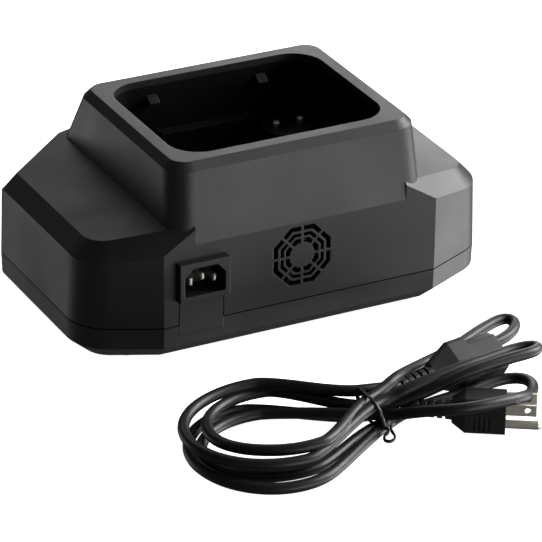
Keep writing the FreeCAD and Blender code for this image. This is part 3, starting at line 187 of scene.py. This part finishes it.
def round_cord(name, route, diameter):
    """One open NURBS spline of order 3 with the route as its control points."""
    curve = bpy.data.curves.new(name, "CURVE")
    curve.dimensions = "3D"
    spline = curve.splines.new("NURBS")
    spline.points.add(len(route) - 1)
    for point, place in zip(spline.points, route):
        point.co = (*place, 1.0)
        point.radius = diameter / 2
    spline.order_u = 3
    spline.use_endpoint_u = True
    curve.bevel_depth = 1.0                  # times each point's radius
    curve.bevel_resolution = 6
    curve.resolution_u = 10
    curve.use_fill_caps = True
    cord = bpy.data.objects.new(name, curve)
    bpy.context.collection.objects.link(cord)
    return cord


lead_cord = round_cord("lead_cord", lead_route(), CORD_DIAMETER)
print("cord has", len(lead_cord.data.splines[0].points), "control points")

# %% [markdown]
# ## The tie
# A plastic-covered wire holds the bundle: once round it, and then its end is bent into a
# small eyelet at the near side. The band's path is closed and the eyelet's path is open,
# but each is a small oval section carried along a path, so the same function makes both.


# %% Section along a path
def smooth_path(corners, samples, closed):
    """Points on a Catmull-Rom curve through the corners, evenly split between them."""
    corners = np.asarray(corners, float)
    count = len(corners)
    spans = count if closed else count - 1
    step = np.linspace(0, spans, samples, endpoint=not closed)
    index = np.minimum(step.astype(int), spans - 1)
    t = (step - index)[:, None]

    def corner(offset):
        place = index + offset
        place = place % count if closed else np.clip(place, 0, count - 1)
        return corners[place]

    a, b, c, d = corner(-1), corner(0), corner(1), corner(2)
    return 0.5 * (2 * b + (c - a) * t + (2 * a - 5 * b + 4 * c - d) * t**2
                  + (3 * b - a - 3 * c + d) * t**3)


def section_along(path, half_width, half_height, closed, flat=(1.0, 0.0, 0.0), sides=10):
    """An oval section carried along a path; its wide side follows the flat direction.

    Point (i, j) is path[i] + across * half_width * cos(v) + over * half_height * sin(v)."""
    if closed:
        along = np.roll(path, -1, axis=0) - np.roll(path, 1, axis=0)
    else:
        along = np.gradient(path, axis=0)
    along /= np.linalg.norm(along, axis=1)[:, None]
    flat = np.asarray(flat, float)
    across = flat - along * (along @ flat)[:, None]
    across /= np.linalg.norm(across, axis=1)[:, None]
    over = np.cross(along, across)
    angle = np.linspace(0, 2 * np.pi, sides, endpoint=False)
    ring = (across[:, None, :] * half_width * np.cos(angle)[None, :, None]
            + over[:, None, :] * half_height * np.sin(angle)[None, :, None])
    return path[:, None, :] + ring


# %% Skin over the rings
def skin(name, grid, closed):
    """Quads over a grid of rings, with both ends capped when the path is open."""
    rings, sides = grid.shape[:2]
    last = rings if closed else rings - 1
    i, j = np.meshgrid(np.arange(last), np.arange(sides), indexing="ij")
    after, beside = (i + 1) % rings, (j + 1) % sides
    faces = np.stack([i * sides + j, after * sides + j, after * sides + beside, i * sides + beside], -1)
    faces = faces.reshape(-1, 4)[:, ::-1].tolist()
    if not closed:
        faces += [list(range(sides)), list(range((rings - 1) * sides, rings * sides))[::-1]]
    mesh = bpy.data.meshes.new(name)
    mesh.from_pydata(grid.reshape(-1, 3).tolist(), [], faces)
    mesh.shade_smooth()
    piece = bpy.data.objects.new(name, mesh)
    bpy.context.collection.objects.link(piece)
    return piece


def face_outward(piece):
    """Turns a closed mesh's faces so that its volume is positive.

    The volume is a sixth of each triangle's corner a times (b cross c), added up."""
    mesh = piece.data
    mesh.calc_loop_triangles()
    places = np.empty(3 * len(mesh.vertices), np.float32)
    mesh.vertices.foreach_get("co", places)
    triangles = np.empty(3 * len(mesh.loop_triangles), np.int32)
    mesh.loop_triangles.foreach_get("vertices", triangles)
    corner = places.reshape(-1, 3).astype(float)[triangles.reshape(-1, 3)]
    volume = np.einsum("ij,ij->", corner[:, 0], np.cross(corner[:, 1], corner[:, 2])) / 6
    if volume < 0:
        mesh.flip_normals()
    print(piece.name, len(mesh.polygons), "faces,", round(abs(volume) * 1e9, 1), "mm3")
    return piece


# %% Band
BAND_HALF_WIDTH = 0.0011
BAND_HALF_THICKNESS = 0.0005
BUNDLE_Y, BUNDLE_Z = -0.1812, 0.0102
REACH_Y, REACH_Z = 0.0136, 0.0098        # half the bundle's width and height, at the wire
LEAN = 0.0030
ROUNDNESS = 3                            # 2 would be an oval, and more comes near a rectangle
angle = np.radians(np.arange(0, 360, 30))
across, upward = np.cos(angle), np.sin(angle)
push = (abs(across) ** ROUNDNESS + abs(upward) ** ROUNDNESS) ** (-1 / ROUNDNESS)
around = np.stack([TIE_X - LEAN * upward, BUNDLE_Y + REACH_Y * across * push,
                   BUNDLE_Z + REACH_Z * upward * push], axis=-1)
band_path = smooth_path(around, 72, closed=True)
band_skin = section_along(band_path, BAND_HALF_WIDTH, BAND_HALF_THICKNESS, closed=True)
tie_band = face_outward(skin("tie_band", band_skin, closed=True))

# %% Eyelet
WIRE_HALF_WIDTH = 0.0010
WIRE_HALF_THICKNESS = 0.0007
twist_root = np.array((TIE_X + 0.0020, BUNDLE_Y - REACH_Y - 0.0006, 0.0060))
eyelet = twist_root + np.array((
    (0.0, 0.0008, 0.0), (0.0004, -0.0010, -0.0018), (-0.0022, -0.0016, -0.0036),
    (-0.0030, -0.0040, -0.0046), (-0.0008, -0.0056, -0.0048), (0.0022, -0.0046, -0.0044),
    (0.0030, -0.0024, -0.0034), (0.0024, -0.0004, -0.0016), (0.0030, 0.0008, 0.0006)))
twist_path = smooth_path(eyelet, 60, closed=False)
twist_skin = section_along(twist_path, WIRE_HALF_WIDTH, WIRE_HALF_THICKNESS, closed=False,
                           flat=(0.0, 0.0, 1.0))
tie_twist = face_outward(skin("tie_twist", twist_skin, closed=False))

# %% [markdown]
# ### What the lead replaces
# The CAD model holds the lead as one plain solid and the tie as another. The spline and
# the band take their places and ride on the same body.

# %% What the lead replaces
for piece in (lead_cord, tie_band, tie_twist):
    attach(piece, "base")
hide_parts("lead_hank")
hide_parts("lead_tie")

# %% [markdown]
# ## Materials
# Nearly everything here is black, so the parts are told apart by their gloss and grain.
# Each material starts from what it really is. Colours are written as sRGB hex and turned
# to linear by one function. One more function adds a node, sets its values and links it.


# %% Material helpers
def linear(hex_colour):
    """sRGB hex to linear RGBA."""
    parts = [int(hex_colour[i:i + 2], 16) / 255 for i in (1, 3, 5)]
    return tuple(p / 12.92 if p <= 0.04045 else ((p + 0.055) / 1.055) ** 2.4 for p in parts) + (1.0,)


def node(material, kind, settings=None, **links):
    """Adds a node, sets attributes and socket values, and links inputs to sockets."""
    tree = material.node_tree
    made = tree.nodes.new(kind)
    for key, value in (settings or {}).items():
        if key in made.inputs:
            made.inputs[key].default_value = value
        else:
            setattr(made, key, value)
    for key, socket in links.items():
        tree.links.new(socket, made.inputs[key.replace("_", " ")])
    return made


def ramp(material, factor, stops):
    """A colour ramp over a factor; stops are (position, hex)."""
    made = node(material, "ShaderNodeValToRGB", Fac=factor)
    band = made.color_ramp
    while len(band.elements) < len(stops):
        band.elements.new(0.5)
    for element, (position, colour) in zip(band.elements, stops):
        element.position = position
        element.color = linear(colour)
    return made.outputs["Color"]


def new_material(name, **settings):
    """A material with a Principled shader set to these socket values."""
    material = bpy.data.materials.new(name)
    material.use_nodes = True
    shader = material.node_tree.nodes["Principled BSDF"]
    for key, value in settings.items():
        shader.inputs[key.replace("_", " ")].default_value = value
    return material, shader


def on_object(material, scale_per_metre=1.0, stretch=(1.0, 1.0, 1.0)):
    """Object coordinates through a Mapping node."""
    coordinates = node(material, "ShaderNodeTexCoord")
    scaled = tuple(scale_per_metre * s for s in stretch)
    mapping = node(material, "ShaderNodeMapping", {"Scale": scaled}, Vector=coordinates.outputs["Object"])
    return mapping.outputs["Vector"]


def put(shader, material, **sockets):
    """Links each socket to the shader's input of that name."""
    for key, socket in sockets.items():
        material.node_tree.links.new(socket, shader.inputs[key.replace("_", " ")])


# %% [markdown]
# ### Moulded plastics
# The case is ABS moulded in a spark-eroded tool: charcoal black with an even, fine grain
# that scatters highlights. The real grain is about 0.2 mm, too fine to show at this
# distance, so it is drawn near 0.5 mm, with a slower mottling from the flow of the melt.
# One function makes such a plastic, and the pieces differ in colour, grain and gloss.

# %% Moulded plastic
PLASTIC_IOR = 1.53
MELT_FLOW = {"Scale": 22.0, "Detail": 4.0, "Roughness": 0.6}     # patches of about 45 mm
GRAIN_SHARE = 0.35               # how much of the mottling is grain; the rest is flow


def moulded_plastic(name, dark, light, rough, grain_mm, grain_depth,
                    spread=0.08, specular=0.35, edge_mm=0.5):
    """Mottled colour, uneven roughness and a fine bump, all from noise in Object space.

    No moulded edge is truly sharp: the bevel node rounds the shading near every edge."""
    material, shader = new_material(name, IOR=PLASTIC_IOR)
    shader.inputs["Specular IOR Level"].default_value = specular
    where = on_object(material)
    flow = node(material, "ShaderNodeTexNoise", MELT_FLOW, Vector=where)
    grain_look = {"Scale": 1000.0 / grain_mm, "Detail": 2.0, "Roughness": 0.55}
    grain = node(material, "ShaderNodeTexNoise", grain_look, Vector=where)
    blend = node(material, "ShaderNodeMix", {"data_type": "FLOAT", "Factor": GRAIN_SHARE},
                 A=flow.outputs["Fac"], B=grain.outputs["Fac"])
    limits = {"From Min": 0.3, "From Max": 0.7, "To Min": rough - spread, "To Max": rough + spread}
    gloss = node(material, "ShaderNodeMapRange", limits, Value=blend.outputs["Result"])
    edge = node(material, "ShaderNodeBevel", {"samples": 6, "Radius": edge_mm / 1000.0})
    bump = node(material, "ShaderNodeBump", {"Strength": grain_depth, "Distance": 0.0002},
                Height=grain.outputs["Fac"], Normal=edge.outputs["Normal"])
    put(shader, material, Base_Color=ramp(material, blend.outputs["Result"], [(0.30, dark), (0.70, light)]),
        Roughness=gloss.outputs["Result"], Normal=bump.outputs["Normal"])
    return material


# %% [markdown]
# ### The gap between the case halves
# Two moulded halves never close without a gap, and hardly any light gets into it. The
# CAD model has that gap, but it is only 0.3 mm high and almost vanishes from two metres
# away. The case's own material paints the gap's shade as well, as a near-black colour and
# weaker reflection. It uses a mask that is 0 in the gap, worked out from where the halves
# meet, and 1 on the rest of the case.

# %% Gap mask
PART_LINE_Z, SEAM_HALF = 0.0226, 0.00032
TONGUE_X, TONGUE_HALF = -0.0600, 0.0132
FLANGE_Z, REAR_LIMIT = 0.0375, -0.0740
# The near-black below is painted shade for the gap between the halves, not the plastic's colour.
GAP_SHADE = "#020202"


def sums(material, operation, first, second=0.0, third=0.0):
    """One math node; each value is a number or a socket."""
    made = node(material, "ShaderNodeMath", {"operation": operation})
    for slot, value in zip(made.inputs, (first, second, third)):
        if isinstance(value, (int, float)):
            slot.default_value = value
        else:
            material.node_tree.links.new(value, slot)
    return made.outputs["Value"]


def paint_gap_shade(material):
    """Paints shade into the gap between the case halves, which light hardly enters.

    The gap runs level round the case, except below the inlet, where the lower case has a
    tongue: there it climbs both of the tongue's edges to the inlet's flange."""
    tree = material.node_tree
    shader = tree.nodes["Principled BSDF"]
    split = node(material, "ShaderNodeSeparateXYZ", Vector=on_object(material))
    x, y, z = split.outputs
    from_tongue = sums(material, "ABSOLUTE", sums(material, "SUBTRACT", x, TONGUE_X))
    outside = sums(material, "MAXIMUM", sums(material, "GREATER_THAN", from_tongue, TONGUE_HALF),
                   sums(material, "GREATER_THAN", y, REAR_LIMIT))
    level = sums(material, "MULTIPLY", outside, sums(material, "COMPARE", z, PART_LINE_Z, SEAM_HALF))
    edge = sums(material, "COMPARE", from_tongue, TONGUE_HALF, SEAM_HALF)
    for limit in (sums(material, "GREATER_THAN", z, PART_LINE_Z), sums(material, "LESS_THAN", z, FLANGE_Z),
                  sums(material, "LESS_THAN", y, REAR_LIMIT)):
        edge = sums(material, "MULTIPLY", edge, limit)
    keep = sums(material, "SUBTRACT", 1.0, sums(material, "MAXIMUM", level, edge))
    colour = shader.inputs["Base Color"].links[0].from_socket
    darken = node(material, "ShaderNodeMix", {"data_type": "RGBA"}, Factor=keep)
    in_gap, on_case = [socket for socket in darken.inputs if socket.type == "RGBA"]
    mixed = next(socket for socket in darken.outputs if socket.type == "RGBA")
    # Painted shade: the gap gets a near-black colour here, and its reflection is weakened below.
    in_gap.default_value = linear(GAP_SHADE)
    tree.links.new(colour, on_case)
    gloss = sums(material, "MULTIPLY", keep, shader.inputs["Specular IOR Level"].default_value)
    put(shader, material, Base_Color=mixed, Specular_IOR_Level=gloss)


print("the gap is drawn", round(2000 * SEAM_HALF, 2), "mm high")

# %% [markdown]
# ### Which plastic for which part
# The case is textured ABS and its well a smoother, darker one. The inlet is a hard
# thermoset, the fan glass-filled PBT, the feet silicone rubber, and the connector and
# plug soft PVC. They are all near black, so mostly the gloss and the grain tell them apart.

# %% Moulded pieces
case_abs = moulded_plastic("case_textured_abs", "#171718", "#1f1f21", 0.46, 0.5, 0.25)
# Paints the shade of the gap between the halves into the case's colour and gloss.
paint_gap_shade(case_abs)
liner_abs = moulded_plastic("liner_smooth_abs", "#060607", "#0a0a0b", 0.42, 0.8, 0.10, specular=0.20)
inlet_thermoset = moulded_plastic("inlet_thermoset", "#111112", "#1a1a1b", 0.42, 0.6, 0.10)
fan_pbt = moulded_plastic("fan_glass_filled_pbt", "#101011", "#18181a", 0.48, 0.6, 0.15)
foot_rubber = moulded_plastic("foot_silicone_rubber", "#0e0e0e", "#161616", 0.72, 0.5, 0.25,
                              spread=0.05, specular=0.25)
lead_pvc = moulded_plastic("plug_moulded_pvc", "#121213", "#1a1a1b", 0.42, 0.6, 0.15)
print("moulded plastics made")

# %% [markdown]
# ### Cord jacket
# The cord's jacket is extruded PVC. It has no grain from a tool, only soft waves from
# cooling, so its pattern is coarse and shallow and its sheen is even. The tie's covering
# is a thinner PVC, and a little glossier.

# %% Cord jacket
cord_pvc = moulded_plastic("cord_pvc_jacket", "#0e0e0f", "#161617", 0.44, 2.4, 0.08,
                           spread=0.06, specular=0.30)
tie_pvc = moulded_plastic("tie_pvc_covering", "#0e0e0f", "#18181a", 0.36, 0.9, 0.12, edge_mm=0.2)
print("cord and tie plastics made")

# %% [markdown]
# ### Metals
# The contact pins, the inlet's pins and the plug's blades are brass with nickel plating,
# stamped or turned from drawn stock, so faint lines run one way over them. Screws and
# springs are zinc-plated steel, and the heatsink is extruded aluminium. Plating hides no
# form, so all three are simple: a colour near the metal's own reflectance, and roughness
# from stretched noise. The lines keep one direction whichever way the piece lies.


# %% Metals
def plated_metal(name, dark, light, rough, line_mm, stretch):
    """Metal whose roughness and colour follow noise stretched along one axis."""
    material, shader = new_material(name, Metallic=1.0, Roughness=rough)
    where = on_object(material, 1000.0 / line_mm, stretch)
    line_look = {"Scale": 1.0, "Detail": 3.0, "Roughness": 0.6}
    lines = node(material, "ShaderNodeTexNoise", line_look, Vector=where)
    put(shader, material, Base_Color=ramp(material, lines.outputs["Fac"], [(0.3, dark), (0.7, light)]))
    limits = {"From Min": 0.3, "From Max": 0.7, "To Min": rough - 0.08, "To Max": rough + 0.10}
    spread = node(material, "ShaderNodeMapRange", limits, Value=lines.outputs["Fac"])
    bump = node(material, "ShaderNodeBump", {"Strength": 0.04, "Distance": 0.0001},
                Height=lines.outputs["Fac"])
    put(shader, material, Roughness=spread.outputs["Result"], Normal=bump.outputs["Normal"])
    return material


nickel = plated_metal("nickel_plated_brass", "#cfc8ba", "#ece8df", 0.42, 0.6, (1.0, 0.15, 1.0))
zinc = plated_metal("zinc_plated_steel", "#8d9094", "#b4b7ba", 0.34, 0.8, (1.0, 1.0, 0.3))
sink_aluminium = plated_metal("extruded_aluminium", "#a5a8ab", "#c8cacc", 0.36, 0.9, (0.1, 1.0, 1.0))
print("metals made")

# %% [markdown]
# ### Inside
# The electronics are hidden in use, but the part is also looked at without its case. The
# circuit board is glass-fibre with a green solder mask, the transformer is varnished
# silicon steel round enamelled copper, and the capacitors wear a shrink sleeve. The
# core's sheets and the winding's wires are thinner than a millimetre; their bands are
# drawn much coarser, and repeat every six to eight millimetres.

# %% Inside materials
WAVE_RADIANS = 20.0              # the wave texture's turn over one unit at scale 1


def layered(name, dark, light, rough, radian_mm, axis, metallic=0.0):
    """Layers stacked along one axis: a wave whose bands are the layers.

    The wave turns one radian in radian_mm, so a band repeats every 6.28 times that."""
    material, shader = new_material(name, Metallic=metallic, Roughness=rough)
    bands = {"wave_type": "BANDS", "bands_direction": axis, "Scale": 1000.0 / radian_mm / WAVE_RADIANS,
             "Distortion": 0.8, "Detail": 2.0}
    wave = node(material, "ShaderNodeTexWave", bands, Vector=on_object(material))
    put(shader, material, Base_Color=ramp(material, wave.outputs["Fac"], [(0.2, dark), (0.8, light)]))
    bump = node(material, "ShaderNodeBump", {"Strength": 0.3, "Distance": 0.0002},
                Height=wave.outputs["Fac"])
    put(shader, material, Normal=bump.outputs["Normal"])
    return material


laminations = layered("varnished_laminations", "#2c2a28", "#57534d", 0.42, 1.0, "Y", 0.6)
copper_winding = layered("enamelled_copper_winding", "#6e2f12", "#b8632a", 0.34, 1.2, "Z", 0.7)
solder_mask = moulded_plastic("green_solder_mask", "#0d3a22", "#15542f", 0.36, 3.0, 0.10)
shrink_sleeve = moulded_plastic("capacitor_shrink_sleeve", "#101a35", "#182447", 0.28, 2.0, 0.05)
epoxy = moulded_plastic("moulded_epoxy", "#151517", "#212124", 0.50, 0.7, 0.20)
nylon = moulded_plastic("natural_nylon", "#cfccc2", "#e2dfd6", 0.45, 1.2, 0.08)
wire_pvc = moulded_plastic("wire_pvc_insulation", "#4a3a1a", "#5c4a22", 0.42, 1.0, 0.08)
lens_clear = moulded_plastic("lens_tinted_polycarbonate", "#1f2a22", "#2c3a30", 0.16, 1.5, 0.03,
                             spread=0.04)
print("inside materials made")

# %% [markdown]
# ### Dressing the nodes
# The CAD model's record names a material slot for each part, such as case, board or
# nickel. One table from slot to material dresses every node, so nothing is left plain.

# %% Which node wears what
WEARS = {
    "case": case_abs, "liner": liner_abs, "inlet_plastic": inlet_thermoset, "fan_plastic": fan_pbt,
    "rubber": foot_rubber, "lead_moulding": lead_pvc, "cord": cord_pvc, "nickel": nickel, "steel": zinc,
    "aluminium": sink_aluminium, "core": laminations, "winding": copper_winding, "board": solder_mask,
    "capacitor": shrink_sleeve, "component": epoxy, "white_plastic": nylon, "wire": wire_pvc,
    "lens": lens_clear,
}
for subpart in frame["record"]["subparts"]:
    piece = nodes[subpart["node"]]
    piece.data.materials.clear()
    piece.data.materials.append(WEARS[subpart["material_slot"]])
lead_cord.data.materials.append(cord_pvc)
for piece in (tie_band, tie_twist):
    piece.data.materials.append(tie_pvc)

# %% [markdown]
# ## Floor and light
# The object stands on white paper that glows by itself, so it stays white to its edge and
# carries no shadow. The paper is hidden from reflections, because black plastic would
# mirror it and turn grey. A large softbox at the right and a lower one beside it make the
# right faces bright and leave the left faces dark. One at the front keeps the rear face
# readable, and three weak ones behind draw the rims and the far side. Some stand below
# the floor's level, which works because the paper casts no shadow.

# %% Floor
FLOOR_HALF = 7.0
FLOOR_Z = -0.0002
floor_mesh = bpy.data.meshes.new("studio_floor")
floor_corners = [(x * FLOOR_HALF, y * FLOOR_HALF, FLOOR_Z)
                 for x, y in ((-1, -1), (1, -1), (1, 1), (-1, 1))]
floor_mesh.from_pydata(floor_corners, [], [(0, 1, 2, 3)])
floor = bpy.data.objects.new("studio_floor", floor_mesh)
bpy.context.collection.objects.link(floor)
floor.visible_glossy = False
floor.visible_diffuse = False
floor.visible_shadow = False
paper, paper_shader = new_material("studio_paper", Roughness=0.9)
paper_noise = node(paper, "ShaderNodeTexNoise", {"Scale": 3.0, "Detail": 2.0}, Vector=on_object(paper))
paper_white = ramp(paper, paper_noise.outputs["Fac"], [(0.3, "#fdfdfd"), (0.7, "#ffffff")])
put(paper_shader, paper, Base_Color=paper_white, Emission_Color=paper_white)
paper_shader.inputs["Emission Strength"].default_value = 1.0
floor_mesh.materials.append(paper)
print("floor is", 2 * FLOOR_HALF, "m wide")

# %% Softboxes
CASE_MIDDLE = (0.0, 0.0, 0.05)
CASE_AND_LEAD = (0.0, -0.1, 0.05)
SOFTBOXES = (       # name, where it stands, what it points at, its size in metres, its power in watts
    ("key_right", (2.0, -0.3, 1.1), CASE_MIDDLE, (1.4, 1.4), 105.0),
    ("bounce_right", (1.9, -0.5, -0.8), CASE_MIDDLE, (1.6, 1.2), 34.0),
    ("front", (0.8, -2.1, -0.1), CASE_AND_LEAD, (1.6, 1.0), 25.0),
    ("back_right", (1.3, 1.7, 0.6), CASE_MIDDLE, (1.0, 0.8), 12.0),
    ("back_left", (-1.3, 2.0, -0.5), CASE_MIDDLE, (1.2, 1.0), 6.0),
    ("top", (0.4, 1.9, 1.6), CASE_MIDDLE, (1.4, 1.0), 7.0),
)


def softbox(name, stand, target, size, power):
    """A rectangular area light that points at a target."""
    light = bpy.data.lights.new(name, "AREA")
    light.shape = "RECTANGLE"
    light.size, light.size_y = size
    light.energy = power
    lamp = bpy.data.objects.new(name, light)
    lamp.location = stand
    lamp.rotation_euler = (Vector(target) - Vector(stand)).to_track_quat("-Z", "Y").to_euler()
    bpy.context.collection.objects.link(lamp)


for row in SOFTBOXES:
    softbox(*row)

# %% Surrounding light
world = bpy.data.worlds.new("studio_world")
world.use_nodes = True
surround = world.node_tree.nodes["Background"].inputs
surround["Color"].default_value = (1.0, 1.0, 1.0, 1.0)
surround["Strength"].default_value = 0.10
bpy.context.scene.world = world
bpy.context.scene.view_settings.view_transform = "Standard"
print("surrounding light", round(surround["Strength"].default_value, 2))
